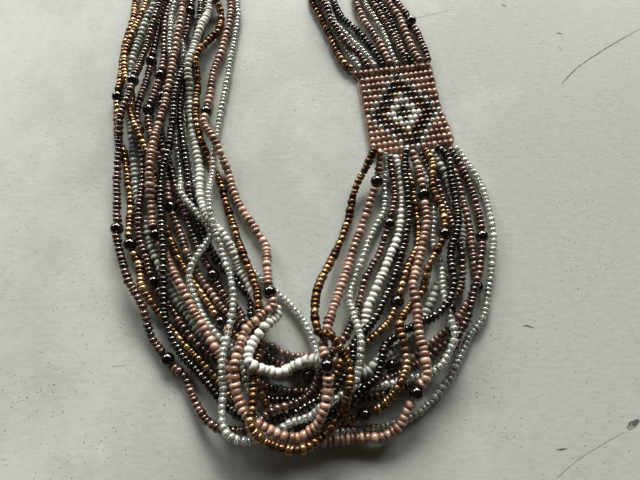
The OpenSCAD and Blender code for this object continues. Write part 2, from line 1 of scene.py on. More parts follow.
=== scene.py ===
import bmesh
import bpy
import math
import random
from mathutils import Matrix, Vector


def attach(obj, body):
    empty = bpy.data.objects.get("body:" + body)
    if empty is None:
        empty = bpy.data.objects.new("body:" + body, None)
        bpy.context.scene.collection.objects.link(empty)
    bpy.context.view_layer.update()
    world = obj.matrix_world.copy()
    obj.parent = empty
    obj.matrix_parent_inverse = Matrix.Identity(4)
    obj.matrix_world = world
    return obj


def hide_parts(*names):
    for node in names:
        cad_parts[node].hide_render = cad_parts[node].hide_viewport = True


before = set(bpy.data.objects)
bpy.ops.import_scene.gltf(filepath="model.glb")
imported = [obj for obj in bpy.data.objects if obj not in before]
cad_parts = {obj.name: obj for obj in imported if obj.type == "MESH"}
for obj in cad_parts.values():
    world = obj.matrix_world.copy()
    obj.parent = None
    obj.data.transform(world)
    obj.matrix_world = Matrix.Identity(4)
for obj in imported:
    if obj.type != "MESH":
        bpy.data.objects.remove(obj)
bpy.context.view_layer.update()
print("frame loaded:", len(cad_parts), "nodes")


# helpers for objects and node trees

def newObject(name, data):
    made = bpy.data.objects.new(name, data)
    bpy.context.scene.collection.objects.link(made)
    return made


def newNode(tree, kind, inputs=None, **settings):
    # the settings come first because they change the sockets; an input is a value or a node's output
    node = tree.nodes.new(kind)
    for name, value in settings.items():
        setattr(node, name, value)
    for name, value in (inputs or {}).items():
        if isinstance(value, bpy.types.NodeSocket):
            tree.links.new(value, node.inputs[name])
        else:
            node.inputs[name].default_value = value
    return node


def arithmetic(tree, operation, *values):
    return newNode(tree, "ShaderNodeMath", dict(enumerate(values)), operation=operation).outputs[0]


def vectorMath(tree, operation, inputs):
    return newNode(tree, "ShaderNodeVectorMath", inputs, operation=operation).outputs["Vector"]


# materials

def newMaterial(name):
    material = bpy.data.materials.new(name)
    material.use_nodes = True
    tree = material.node_tree
    shader = next(n for n in tree.nodes if n.type == "BSDF_PRINCIPLED")
    place = newNode(tree, "ShaderNodeTexCoord").outputs["Object"]
    return material, tree, shader, place


def noise(tree, vector, scale, detail=2, roughness=0.5):
    return newNode(tree, "ShaderNodeTexNoise",
                   {"Vector": vector, "Scale": scale, "Detail": detail, "Roughness": roughness})


def stretched(tree, vector, scale):
    return newNode(tree, "ShaderNodeMapping", {"Vector": vector, "Scale": scale}).outputs["Vector"]


def colourStops(tree, level, stops):
    ramp = newNode(tree, "ShaderNodeValToRGB", {"Fac": level})
    points = ramp.color_ramp.elements
    while len(points) < len(stops):
        points.new(0.5)
    for point, (place, colour) in zip(points, stops):
        point.position = place
        point.color = (*colour, 1)
    return ramp.outputs["Color"]


def colourMix(tree, blend, share, first, second):
    # a mix node's colours are its inputs 6 and 7 and its output 2
    return newNode(tree, "ShaderNodeMix", {0: share, 6: first, 7: second},
                   data_type="RGBA", blend_type=blend).outputs[2]


def addBump(tree, shader, height, strength, depth):
    bump = newNode(tree, "ShaderNodeBump", {"Height": height, "Strength": strength, "Distance": depth})
    tree.links.new(bump.outputs["Normal"], shader.inputs["Normal"])


# what a look has unless it says otherwise
plainGlass = {
    "metallic": 0, "ior": 1.5, "coat": 0, "coatRoughness": 0.08, "coatIor": 1.5, "through": 0, "alpha": 1,
    "grain": 0.25, "grainScale": 900, "grainDetail": 2, "smoothest": 0.7, "roughest": 1.3,
    "bump": 0.08, "bumpDepth": 0.0001, "milk": 0, "milkReach": 0.0006,
}


def beadGlass(name, ownLook):
    # every bead has its own shade between the stops, and grain makes its coating uneven, except on clear
    # glass, where the grain paints glints and shade as flecks
    look = {**plainGlass, **ownLook}
    material, tree, shader, place = newMaterial(name)
    shade = newNode(tree, "ShaderNodeAttribute", attribute_name="shade")
    glass = colourStops(tree, shade.outputs["Fac"], look["stops"])
    grain = noise(tree, place, look["grainScale"], look["grainDetail"])
    wearAndGlints = grain.outputs["Color"]
    # on clear glass the grain becomes white flecks of painted glint and dark flecks of painted shade in the
    # glass
    if "paintedGlints" in look:
        wearAndGlints = colourStops(tree, grain.outputs["Fac"], look["paintedGlints"])
    tree.links.new(colourMix(tree, "MULTIPLY", look["grain"], glass, wearAndGlints), shader.inputs["Base Color"])
    rough = newNode(tree, "ShaderNodeMapRange",
                    {"Value": grain.outputs["Fac"], "To Min": look["roughness"] * look["smoothest"],
                     "To Max": look["roughness"] * look["roughest"]})
    tree.links.new(rough.outputs["Result"], shader.inputs["Roughness"])
    addBump(tree, shader, grain.outputs["Fac"], look["bump"], look["bumpDepth"])
    shader.inputs["Metallic"].default_value = look["metallic"]
    shader.inputs["IOR"].default_value = look["ior"]
    shader.inputs["Coat Weight"].default_value = look["coat"]
    shader.inputs["Coat Roughness"].default_value = look["coatRoughness"]
    shader.inputs["Coat IOR"].default_value = look["coatIor"]
    shader.inputs["Transmission Weight"].default_value = look["through"]
    shader.inputs["Alpha"].default_value = look["alpha"]
    shader.inputs["Subsurface Weight"].default_value = look["milk"]
    shader.inputs["Subsurface Radius"].default_value = [look["milkReach"]] * 3
    return material


beadLooks = {
    "pink": {"stops": [(0, (0.235, 0.118, 0.079)), (0.5, (0.43, 0.25, 0.176)), (1, (0.66, 0.445, 0.335))],
             "roughness": 0.4, "coat": 1.0, "coatIor": 1.65, "coatRoughness": 0.08, "grain": 0.25},
    "mauve": {"stops": [(0, (0.12, 0.064, 0.046)), (0.5, (0.27, 0.155, 0.112)), (1, (0.48, 0.305, 0.23))],
              "roughness": 0.34, "coat": 1.0, "coatIor": 1.8, "coatRoughness": 0.06, "grain": 0.25},
    "white": {"stops": [(0, (0.37, 0.385, 0.335)), (0.5, (0.49, 0.51, 0.455)), (1, (0.62, 0.64, 0.58))],
              "roughness": 0.5, "coat": 0.6, "coatRoughness": 0.1, "grain": 0.15, "milk": 1.0},
    # painted light: the white glass painted brighter, for the loop's strand on top of the pile and the
    # panel's white beads
    "ivory": {"stops": [(0, (0.64, 0.635, 0.575)), (0.5, (0.78, 0.77, 0.715)), (1, (0.92, 0.91, 0.86))],
              "roughness": 0.5, "coat": 0.6, "coatRoughness": 0.1, "grain": 0.12, "milk": 1.0},
    "gold": {"stops": [(0, (0.13, 0.062, 0.033)), (0.45, (0.38, 0.23, 0.12)), (1, (0.7, 0.51, 0.3))],
             "roughness": 0.23, "metallic": 0.75, "grain": 0.4, "bump": 0.15},
    "copper": {"stops": [(0, (0.075, 0.034, 0.018)), (0.5, (0.24, 0.135, 0.068)), (1, (0.52, 0.34, 0.18))],
               "roughness": 0.23, "metallic": 0.75, "grain": 0.4, "bump": 0.15},
    "brown": {"stops": [(0, (0.05, 0.023, 0.017)), (0.5, (0.132, 0.066, 0.05)), (1, (0.27, 0.15, 0.12))],
              "roughness": 0.28, "metallic": 0.3, "coat": 1.0, "coatIor": 1.85, "coatRoughness": 0.06,
              "grain": 0.3},
    "black": {"stops": [(0, (0.09, 0.084, 0.074)), (0.6, (0.18, 0.17, 0.153)), (1, (0.31, 0.295, 0.27))],
              "roughness": 0.17, "metallic": 1.0, "grain": 0.2, "bump": 0.01},
    "clear": {"stops": [(0, (0.74, 0.8, 0.72)), (0.3, (0.92, 1, 0.92)), (0.6, (1, 0.95, 0.96)),
                        (1, (1, 1, 0.9))],
              "roughness": 0.1, "coat": 1.0, "coatIor": 3.2, "coatRoughness": 0.05, "alpha": 0.66,
              "through": 0.15, "grain": 1.0, "grainScale": 2300,
              # white flecks of painted glint and dark flecks of painted shade
              "paintedGlints": [(0.43, (0.2, 0.21, 0.165)), (0.5, (1, 1, 1))], "bump": 0.9},
    "dark": {"stops": [(0, (0.045, 0.03, 0.019)), (1, (0.045, 0.03, 0.019))],
             "roughness": 0.12, "metallic": 1.0, "coat": 1.0, "coatIor": 1.9, "coatRoughness": 0.03,
             "grain": 0.15, "bump": 0.01},
}
beadMaterials = {kind: beadGlass(kind + "Glass", look) for kind, look in beadLooks.items()}


threadLook = {"fibres": 4000, "roughness": 0.6,
              "stops": [(0.3, (0.24, 0.14, 0.1)), (0.7, (0.45, 0.3, 0.23))]}


def threadNylon():
    material, tree, shader, place = newMaterial("threadNylon")
    fibre = noise(tree, place, threadLook["fibres"])
    colour = colourStops(tree, fibre.outputs["Fac"], threadLook["stops"])
    tree.links.new(colour, shader.inputs["Base Color"])
    shader.inputs["Roughness"].default_value = threadLook["roughness"]
    return material


# fine lines round the barrel, drawn out by stretch
claspLook = {"stretch": (1, 40, 1), "lines": 60, "detail": 4, "bump": 0.1, "bumpDepth": 0.0001,
             "stops": [(0.3, (0.3, 0.18, 0.07)), (0.7, (0.55, 0.38, 0.18))], "roughness": 0.3}


def claspBrass():
    material, tree, shader, place = newMaterial("claspBrass")
    turned = stretched(tree, place, claspLook["stretch"])
    lines = noise(tree, turned, claspLook["lines"], claspLook["detail"])
    colour = colourStops(tree, lines.outputs["Fac"], claspLook["stops"])
    tree.links.new(colour, shader.inputs["Base Color"])
    addBump(tree, shader, lines.outputs["Fac"], claspLook["bump"], claspLook["bumpDepth"])
    shader.inputs["Metallic"].default_value = 1
    shader.inputs["Roughness"].default_value = claspLook["roughness"]
    return material


threadMaterial = threadNylon()
claspMaterial = claspBrass()
print("bead materials made:", len(beadMaterials), "and one each for thread and clasp")


# sizes and kinds of the strands' beads

# metres; length is along the thread, and the two spreads are how unevenly the beads are cut
# across and along it. Shoulder is the width of a bead's end and belly the length of its widest
# part, both as shares, and tilt is the most that a bead leans, in degrees
beadSizes = {
    "pink": {"diameter": 0.0029, "length": 0.00162, "gap": 0.00009, "spread": 0.13, "lengthSpread": 0.3,
             "shoulder": 0.7, "belly": 0.46, "tilt": 11},
    "mauve": {"diameter": 0.00265, "length": 0.00146, "gap": 0.00009, "spread": 0.13, "lengthSpread": 0.3,
              "shoulder": 0.68, "belly": 0.42, "tilt": 11},
    "white": {"diameter": 0.003, "length": 0.0016, "gap": 0.00006, "spread": 0.12, "lengthSpread": 0.32,
              "shoulder": 0.72, "belly": 0.4, "tilt": 11},
    "gold": {"diameter": 0.0026, "length": 0.0015, "gap": 0.0001, "spread": 0.15, "lengthSpread": 0.42,
             "shoulder": 0.78, "belly": 0.62, "tilt": 13},
    "brown": {"diameter": 0.00275, "length": 0.00148, "gap": 0.00009, "spread": 0.14, "lengthSpread": 0.3,
              "shoulder": 0.66, "belly": 0.34, "tilt": 12},
    "black": {"diameter": 0.00275, "length": 0.00142, "gap": 0.0001, "spread": 0.11, "lengthSpread": 0.2,
              "shoulder": 0.64, "belly": 0.34, "tilt": 9},
    "clear": {"diameter": 0.0023, "length": 0.00138, "gap": 0.0002, "spread": 0.1, "lengthSpread": 0.22,
              "shoulder": 0.78, "belly": 0.5, "tilt": 14},
}
# the loop's white strand, on top of the pile, and the panel's white beads are the white glass painted
# brighter, which is painted light; the loop's gold strands are a darker copper; both in the same sizes
beadSizes["ivory"] = dict(beadSizes["white"])
beadSizes["copper"] = dict(beadSizes["gold"])
beadShape = {
    "sides": 10,
    "hole": 0.3, "holeEdge": 0.82,    # width of the hole and length of the bead there, as shares
    "play": 0.0001,    # how far a bead may sit off its thread along each axis
    "narrowest": -1.0, "widest": 0.6,    # how much of the spread a bead may lose and gain in width
    "spin": 3,    # radians round the thread, either way
    "lift": 0.0002,    # room left between the lowest bead and the table
}
# added to a strand's seed, one for each thing that is random
seedSteps = {"length": 37, "play": 71, "tilt": 11, "width": 23, "shade": 53,
             "panelTilt": 5, "panelWidth": 17}
# a strand strays from its CAD line sideways by this much, in waves about this long
stray = {"reach": 0.0004, "wave": 0.007}

# the bead kind of every strand
strands = {
    "pink_brown": "mauve",
    "brown_inner": "brown",
    "white_outer": "white",
    "brown_second": "brown",
    "clear_outer": "clear",
    "gold_outer": "gold",
    "gold_inner": "gold",
    "clear_middle": "clear",
    "black_inner": "black",
    "pink_outer": "pink",
    "black_outer": "black",
    "brown_outer": "brown",
    "gold_loop_left": "copper",
    "white_loop": "ivory",
    "clear_loop": "clear",
    "pink_loop": "pink",
    "gold_loop_right": "copper",
}

thread = {"diameter": 0.0004, "sides": 6, "step": 0.0025}
cadTube = {
    "sides": 8,    # corners of a ring
    "bareRadius": 1.5,    # a ring with a smaller radius, in thread diameters, is bare thread
    "merge": 1e-6,    # vertices nearer to each other than this are one
}


# the CAD tubes give the line of every strand

def walk(start):
    # rings of vertices, each ring the neighbours of the one before it
    seen = set(start)
    rings = [list(start)]
    while True:
        ring = []
        for vertex in rings[-1]:
            for edge in vertex.link_edges:
                other = edge.other_vert(vertex)
                if other not in seen:
                    seen.add(other)
                    ring.append(other)
        if not ring:
            return rings
        rings.append(ring)


def ringMiddles(node):
    # the middle of every ring of a strand's tubes, and whether it is of the bare thread at a round bead
    mesh = bmesh.new()
    mesh.from_mesh(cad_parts[node].data)
    bmesh.ops.remove_doubles(mesh, verts=mesh.verts, dist=cadTube["merge"])
    mesh.verts.ensure_lookup_table()
    left = {v.index for v in mesh.verts}
    bareRadius = thread["diameter"] * cadTube["bareRadius"]
    tubes = []
    while left:
        # what a walk from anywhere reaches last lies at an end of the tube, and the rings start there
        reached = walk([mesh.verts[min(left)]])
        tube = [v for ring in reached for v in ring]
        far = reached[-1][0]
        rings = walk(sorted(tube, key=lambda v: (v.co - far.co).length_squared)[:cadTube["sides"]])
        left -= {v.index for v in tube}
        middles = [sum((v.co for v in ring), Vector()) / len(ring) for ring in rings]
        radii = [max((v.co - middle).length for v in ring) for ring, middle in zip(rings, middles)]
        tubes.append([(middle, radius < bareRadius) for middle, radius in zip(middles, radii)])
    mesh.free()
    return tubes


def beadRuns(tube, size):
    # the stretches of a tube between its round beads, kept off the table
    widest = size["diameter"] / 2 * (1 + beadShape["widest"] * size["spread"])
    lowest = widest + beadShape["play"] + beadShape["lift"]
    runs = [[]]
    for middle, bare in tube:
        if bare:
            if runs[-1]:
                runs.append([])
            continue
        point = middle.copy()
        point.z = max(point.z, lowest)
        runs[-1].append(point)
    return [run for run in runs if len(run) > 1]


def lineObject(name, runs):
    mesh = bpy.data.meshes.new(name)
    points = []
    edges = []
    for run in runs:
        first = len(points)
        points += run
        edges += [(first + k, first + k + 1) for k in range(len(run) - 1)]
    mesh.from_pydata(points, edges, [])
    return newObject(name, mesh)


def beadObject(name, size):
    # one closed ring of glass with its hole along Z
    radius = size["diameter"] / 2
    half = size["length"] / 2
    hole, edge = beadShape["hole"], beadShape["holeEdge"]
    shoulder, belly = size["shoulder"], size["belly"]
    profile = [(hole, edge), (shoulder, 1), (1, belly), (1, -belly), (shoulder, -1), (hole, -edge)]
    sides = beadShape["sides"]
    points = []
    faces = []
    for k in range(sides):
        turn = 2 * math.pi * k / sides
        points += [(radius * r * math.cos(turn), radius * r * math.sin(turn), half * z) for r, z in profile]
    count = len(profile)
    for k in range(sides):
        for n in range(count):
            a = k * count + n
            b = k * count + (n + 1) % count
            c = (k + 1) % sides * count + (n + 1) % count
            d = (k + 1) % sides * count + n
            faces.append((a, b, c, d))
    mesh = bpy.data.meshes.new(name)
    mesh.from_pydata(points, [], faces)
    mesh.shade_smooth()
    return newObject(name, mesh)


# node trees

def newTree(name, inputs):
    tree = bpy.data.node_groups.new(name, "GeometryNodeTree")
    tree.interface.new_socket("Geometry", in_out="INPUT", socket_type="NodeSocketGeometry")
    for label, kind in inputs:
        tree.interface.new_socket(label, in_out="INPUT", socket_type="NodeSocket" + kind)
    tree.interface.new_socket("Geometry", in_out="OUTPUT", socket_type="NodeSocketGeometry")
    given = tree.nodes.new("NodeGroupInput").outputs
    result = tree.nodes.new("NodeGroupOutput").inputs["Geometry"]
    return tree, given, result


def randomBetween(tree, given, use, low, high, kind="FLOAT"):
    seed = arithmetic(tree, "ADD", given["Seed"], seedSteps[use])
    value = newNode(tree, "FunctionNodeRandomValue", {"Seed": seed}, data_type=kind)
    sockets = [s for s in value.inputs if s.name in ("Min", "Max") and s.enabled]
    sockets[0].default_value = low
    sockets[1].default_value = high
    return next(s for s in value.outputs if s.enabled)


def randomVector(tree, given, use):
    return randomBetween(tree, given, use, (-1, -1, -1), (1, 1, 1), "FLOAT_VECTOR")


def randomWidth(tree, given, use):
    # a bead's width as a share of its kind's
    share = randomBetween(tree, given, use, beadShape["narrowest"], beadShape["widest"])
    return arithmetic(tree, "MULTIPLY_ADD", share, given["Spread"], 1)


def smoothLine(tree, given):
    curve = newNode(tree, "GeometryNodeMeshToCurve", {"Mesh": given["Geometry"]})
    return newNode(tree, "GeometryNodeCurveSplineType", {"Curve": curve.outputs["Curve"]},
                   spline_type="CATMULL_ROM").outputs["Curve"]


def beadsOn(tree, given, points, way, angles, size):
    # a bead on every point, its hole along the way, and then turned by the angles about its own axes
    bead = newNode(tree, "GeometryNodeObjectInfo", {"Object": given["Bead"]})
    turn = newNode(tree, "FunctionNodeAlignRotationToVector", {"Vector": way}, axis="Z")
    euler = newNode(tree, "FunctionNodeEulerToRotation", {"Euler": angles})
    both = newNode(tree, "FunctionNodeRotateRotation",
                   {"Rotation": turn.outputs["Rotation"], "Rotate By": euler.outputs["Rotation"]},
                   rotation_space="LOCAL")
    beads = newNode(tree, "GeometryNodeInstanceOnPoints",
                    {"Points": points, "Instance": bead.outputs["Geometry"],
                     "Rotation": both.outputs["Rotation"], "Scale": size})
    return beads.outputs["Instances"]


def finishTree(tree, geometry, material, result):
    real = newNode(tree, "GeometryNodeRealizeInstances", {"Geometry": geometry})
    paint = newNode(tree, "GeometryNodeSetMaterial",
                    {"Geometry": real.outputs["Geometry"], "Material": material})
    tree.links.new(paint.outputs["Geometry"], result)


def beadStringTree():
    tree, given, result = newTree("beadString", [
        ("Bead", "Object"), ("Pitch", "Float"), ("Spread", "Float"), ("Length Spread", "Float"),
        ("Tilt", "Float"), ("Play", "Float"), ("Stray", "Float"), ("Wave", "Float"), ("Seed", "Int"),
        ("Material", "Material")])
    smooth = smoothLine(tree, given)
    # as many beads as fit on each stretch, each with its own length, and together they fill it
    points = newNode(tree, "GeometryNodeResampleCurve", {"Curve": smooth, "Length": given["Pitch"]},
                     mode="LENGTH")
    share = arithmetic(tree, "MULTIPLY_ADD", randomBetween(tree, given, "length", -1, 1),
                       given["Length Spread"], 1)
    stretch = newNode(tree, "GeometryNodeCurveOfPoint").outputs["Curve Index"]
    added = newNode(tree, "GeometryNodeAccumulateField", {"Value": share, "Group ID": stretch})
    middle = arithmetic(tree, "MULTIPLY_ADD", share, 0.5, added.outputs["Trailing"])
    stops = newNode(tree, "GeometryNodeSampleCurve",
                    {"Curves": smooth, "Curve Index": stretch,
                     "Factor": arithmetic(tree, "DIVIDE", middle, added.outputs["Total"])}, mode="FACTOR")
    line = newNode(tree, "GeometryNodeSplineLength")
    pitch = arithmetic(tree, "DIVIDE", line.outputs["Length"], added.outputs["Total"])
    length = arithmetic(tree, "DIVIDE", arithmetic(tree, "MULTIPLY", share, pitch), given["Pitch"])
    kept = newNode(tree, "GeometryNodeCaptureAttribute", {"Geometry": points.outputs["Curve"]})
    for label, kind, field in (("Length", "FLOAT", length), ("Way", "VECTOR", stops.outputs["Tangent"]),
                               ("Place", "VECTOR", stops.outputs["Position"])):
        kept.capture_items.new(kind, label)
        tree.links.new(field, kept.inputs[label])
    # the thread has room in the holes, so the beads don't sit quite in line
    shift = vectorMath(tree, "SCALE", {0: randomVector(tree, given, "play"), "Scale": given["Play"]})
    # and the strand wavers sideways, never down; noise is about a half, so it is centred and doubled
    waver = newNode(tree, "ShaderNodeTexNoise",
                    {"Vector": kept.outputs["Place"], "W": given["Seed"], "Detail": 1,
                     "Scale": arithmetic(tree, "DIVIDE", 1, given["Wave"])}, noise_dimensions="4D")
    centred = vectorMath(tree, "SUBTRACT", {0: waver.outputs["Color"], 1: (0.5, 0.5, 0.5)})
    twice = arithmetic(tree, "MULTIPLY", given["Stray"], 2)
    reach = newNode(tree, "ShaderNodeCombineXYZ", {"X": twice, "Y": twice})
    sideways = vectorMath(tree, "MULTIPLY_ADD", {0: centred, 1: reach.outputs["Vector"], 2: shift})
    spots = newNode(tree, "GeometryNodeSetPosition",
                    {"Geometry": kept.outputs["Geometry"], "Position": kept.outputs["Place"],
                     "Offset": sideways})
    # a small tilt off the thread, any turn round it
    tilts = newNode(tree, "ShaderNodeCombineXYZ",
                    {"X": given["Tilt"], "Y": given["Tilt"], "Z": beadShape["spin"]})
    wobble = vectorMath(tree, "MULTIPLY",
                        {0: tilts.outputs["Vector"], 1: randomVector(tree, given, "tilt")})
    across = randomWidth(tree, given, "width")
    size = newNode(tree, "ShaderNodeCombineXYZ", {"X": across, "Y": across, "Z": kept.outputs["Length"]})
    beads = beadsOn(tree, given, spots.outputs["Geometry"], kept.outputs["Way"], wobble,
                    size.outputs["Vector"])
    shade = newNode(tree, "GeometryNodeStoreNamedAttribute",
                    {"Geometry": beads, "Name": "shade",
                     "Value": randomBetween(tree, given, "shade", 0, 1)}, domain="INSTANCE")
    finishTree(tree, shade.outputs["Geometry"], given["Material"], result)
    return tree


def threadTree():
    tree, given, result = newTree("threadLine", [
        ("Radius", "Float"), ("Step", "Float"), ("Sides", "Int"), ("Material", "Material")])
    stops = newNode(tree, "GeometryNodeResampleCurve",
                    {"Curve": smoothLine(tree, given), "Length": given["Step"]}, mode="LENGTH")
    section = newNode(tree, "GeometryNodeCurvePrimitiveCircle",
                      {"Resolution": given["Sides"], "Radius": given["Radius"]})
    tube = newNode(tree, "GeometryNodeCurveToMesh",
                   {"Curve": stops.outputs["Curve"], "Profile Curve": section.outputs["Curve"],
                    "Fill Caps": True})
    finishTree(tree, tube.outputs["Mesh"], given["Material"], result)
    return tree


def grown(source, tree, name, values):
    # runs a tree on a source object and keeps the result as a plain mesh
    modifier = source.modifiers.new(name, "NODES")
    modifier.node_group = tree
    sockets = {s.name: s.identifier for s in tree.interface.items_tree
               if s.item_type == "SOCKET" and s.in_out == "INPUT"}
    for label, value in values.items():
        modifier[sockets[label]] = value
    bpy.context.view_layer.update()
    graph = bpy.context.evaluated_depsgraph_get()
    mesh = bpy.data.meshes.new_from_object(source.evaluated_get(graph))
    mesh.name = name
    bpy.data.objects.remove(source)
    return newObject(name, mesh)


# strands

beadString = beadStringTree()
threadLine = threadTree()
beadObjects = {kind: beadObject(kind + "Bead", size) for kind, size in beadSizes.items()}
beadCount = 0
threadRuns = []
for number, (node, kind) in enumerate(strands.items()):
    size = beadSizes[kind]
    tubes = ringMiddles(node)
    threadRuns += [[middle for middle, bare in tube] for tube in tubes]
    runs = [run for tube in tubes for run in beadRuns(tube, size)]
    piece = grown(lineObject(node + "Line", runs), beadString, node + "_beads",
                  {"Bead": beadObjects[kind], "Pitch": size["length"] + size["gap"],
                   "Spread": size["spread"], "Length Spread": size["lengthSpread"],
                   "Tilt": math.radians(size["tilt"]), "Play": beadShape["play"],
                   "Stray": stray["reach"], "Wave": stray["wave"],
                   "Seed": number + 1, "Material": beadMaterials[kind]})
    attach(piece, "root")
    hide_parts(node)
    beadCount += len(piece.data.polygons) // len(beadObjects[kind].data.polygons)
print("strands strung:", len(strands), "with", beadCount, "seed beads")

threadPiece = grown(lineObject("threadLines", threadRuns), threadLine, "threads",
                    {"Radius": thread["diameter"] / 2, "Step": thread["step"], "Sides": thread["sides"],
                     "Material": threadMaterial})
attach(threadPiece, "root")


# woven panel, in metres from the same origin as the CAD

panel = {
    "rows": 14, "columns": 15, "height": 0.0013, "middleRow": 8, "middleColumn": 8,
    # its beads; seed is for the colours and weaveSeed for widths and tilts, which are in degrees
    "diameter": 0.0024, "length": 0.00166, "shoulder": 0.66, "belly": 0.38, "spread": 0.06, "tilt": 3,
    "seed": 4, "weaveSeed": 8,
    # the share of the dark beads that are of the other dark colour; of the gold ones, a random number
    # below goldUpTo leaves a bead gold, below copperUpTo makes it copper, and above that brown
    "swapped": 0.15, "goldUpTo": 0.35, "copperUpTo": 0.7,
    # row number, left end x and y, right end x and y
    "rowEnds": [(1, 0.0205, -0.0004, 0.0484, 0.0034), (2, 0.0229, -0.0036, 0.049, 0.0004),
                (8, 0.0246, -0.0187, 0.0507, -0.0152), (11, 0.0254, -0.0253, 0.0524, -0.0209),
                (13, 0.0259, -0.03, 0.0535, -0.0254), (14, 0.026, -0.0323, 0.0537, -0.028)],
}
# the weft comes out past the ends of the rows, and a straight thread lies further out on the left,
# beside these rows counted from 0; the loose end is given by its points
panelThread = {
    "diameter": 0.00036, "step": 0.0008, "turnsOut": 0.0005, "sideOut": 0.0007, "sideRows": (1, 4, 8, 12),
    "looseEnd": [(0.0425, 0.0048, 0.002), (0.0428, 0.0037, 0.0027), (0.0442, 0.0024, 0.0028),
                 (0.0461, 0.0026, 0.0028), (0.0475, 0.0042, 0.0026), (0.0479, 0.0053, 0.002)],
}
# how many steps out from the diamond's middle each colour reaches
diamondRings = [(0, "brown"), (1, "black"), (3, "ivory"), (4, "gold"), (5, "black"), (6, "brown"),
                (7, "clear")]


def rowEnd(row):
    # both ends of a row, worked out from the rows that the panel gives
    known = panel["rowEnds"]
    for (rowA, *a), (rowB, *b) in zip(known, known[1:]):
        if row <= rowB:
            share = (row - rowA) / (rowB - rowA)
            return [u + (v - u) * share for u, v in zip(a, b)]


def panelKind(row, column, chance):
    # the first row is plain pink
    if row == 1:
        return "pink"
    steps = abs(row - panel["middleRow"]) + abs(column - panel["middleColumn"])
    kind = next((kind for reach, kind in diamondRings if steps <= reach), "pink")
    if kind in ("brown", "black") and chance < panel["swapped"]:
        return "black" if kind == "brown" else "brown"
    if kind == "gold" and chance >= panel["goldUpTo"]:
        return "copper" if chance < panel["copperUpTo"] else "brown"
    return kind


def panelBeads():
    spots = {}
    chances = random.Random(panel["seed"])
    for row in range(1, panel["rows"] + 1):
        x0, y0, x1, y1 = rowEnd(row)
        start, end = Vector((x0, y0, panel["height"])), Vector((x1, y1, panel["height"]))
        for column in range(1, panel["columns"] + 1):
            share = (column - 0.5) / panel["columns"]
            spot = start.lerp(end, share)
            kind = panelKind(row, column, chances.random())
            spots.setdefault(kind, []).append((spot, (end - start).normalized(), chances.random()))
    return spots


def panelTree(kinds):
    # beads on points that carry a kind, a shade and the way of their row
    tree, given, result = newTree("panelWeave", [
        ("Bead", "Object"), ("Spread", "Float"), ("Tilt", "Float"), ("Seed", "Int"),
        *((kind, "Material") for kind in kinds)])
    along = newNode(tree, "GeometryNodeInputNamedAttribute", {"Name": "along"}, data_type="FLOAT_VECTOR")
    tilts = vectorMath(tree, "SCALE", {0: randomVector(tree, given, "panelTilt"), "Scale": given["Tilt"]})
    beads = beadsOn(tree, given, given["Geometry"], along.outputs["Attribute"], tilts,
                    randomWidth(tree, given, "panelWidth"))
    woven = newNode(tree, "GeometryNodeRealizeInstances", {"Geometry": beads}).outputs["Geometry"]
    for number, kind in enumerate(kinds):
        which = newNode(tree, "GeometryNodeInputNamedAttribute", {"Name": "kind"}, data_type="INT")
        same = newNode(tree, "FunctionNodeCompare", data_type="INT", operation="EQUAL")
        whole = [s for s in same.inputs if s.enabled]
        tree.links.new(which.outputs["Attribute"], whole[0])
        whole[1].default_value = number
        paint = newNode(tree, "GeometryNodeSetMaterial",
                        {"Geometry": woven, "Selection": same.outputs["Result"], "Material": given[kind]})
        woven = paint.outputs["Geometry"]
    tree.links.new(woven, result)
    return tree


def panelPoints(spots, kinds):
    beads = [(spot, along, shade, number) for number, kind in enumerate(kinds)
             for spot, along, shade in spots[kind]]
    mesh = bpy.data.meshes.new("panelPoints")
    mesh.from_pydata([bead[0] for bead in beads], [], [])
    mesh.attributes.new("along", "FLOAT_VECTOR", "POINT").data.foreach_set(
        "vector", [value for bead in beads for value in bead[1]])
    mesh.attributes.new("shade", "FLOAT", "POINT").data.foreach_set("value", [bead[2] for bead in beads])
    mesh.attributes.new("kind", "INT", "POINT").data.foreach_set("value", [bead[3] for bead in beads])
    return newObject("panelPoints", mesh)


def panelThreads():
    # the warp runs between the columns, and the weft turns round the ends of the rows
    rows, columns, height = panel["rows"], panel["columns"], panel["height"]
    ends = [rowEnd(row) for row in range(1, rows + 1)]
    runs = []
    for column in range(columns + 1):
        share = column / columns
        runs.append([Vector((x0 + (x1 - x0) * share, y0 + (y1 - y0) * share, height))
                     for x0, y0, x1, y1 in ends])
    for row, (above, below) in enumerate(zip(ends, ends[1:])):
        x0, y0, x1, y1 = (u / 2 + v / 2 for u, v in zip(above, below))
        side, x, y = (0, x0, y0) if row % 2 else (1, x1, y1)
        out = panelThread["turnsOut"] if side else -panelThread["turnsOut"]
        a = Vector((above[side * 2], above[side * 2 + 1], height))
        b = Vector((below[side * 2], below[side * 2 + 1], height))
        runs.append([a, Vector((x + out, y, height)), b])
    runs.append([Vector((ends[row][0] - panelThread["sideOut"], ends[row][1], height))
                 for row in panelThread["sideRows"]])
    runs.append([Vector(point) for point in panelThread["looseEnd"]])
    return runs


spots = panelBeads()
kinds = list(spots)
panelBead = beadObject("panelBead", panel)
panelPiece = grown(panelPoints(spots, kinds), panelTree(kinds), "woven_panel_beads",
                   {"Bead": panelBead, "Spread": panel["spread"], "Tilt": math.radians(panel["tilt"]),
                    "Seed": panel["weaveSeed"], **{kind: beadMaterials[kind] for kind in kinds}})
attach(panelPiece, "root")
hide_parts("woven_panel")
weftPiece = grown(lineObject("panelThreadLines", panelThreads()), threadLine, "panel_threads",
                  {"Radius": panelThread["diameter"] / 2, "Step": panelThread["step"],
                   "Sides": thread["sides"], "Material": threadMaterial})
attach(weftPiece, "root")
print("panel woven:", len(panelPiece.data.polygons) // len(panelBead.data.polygons), "beads")

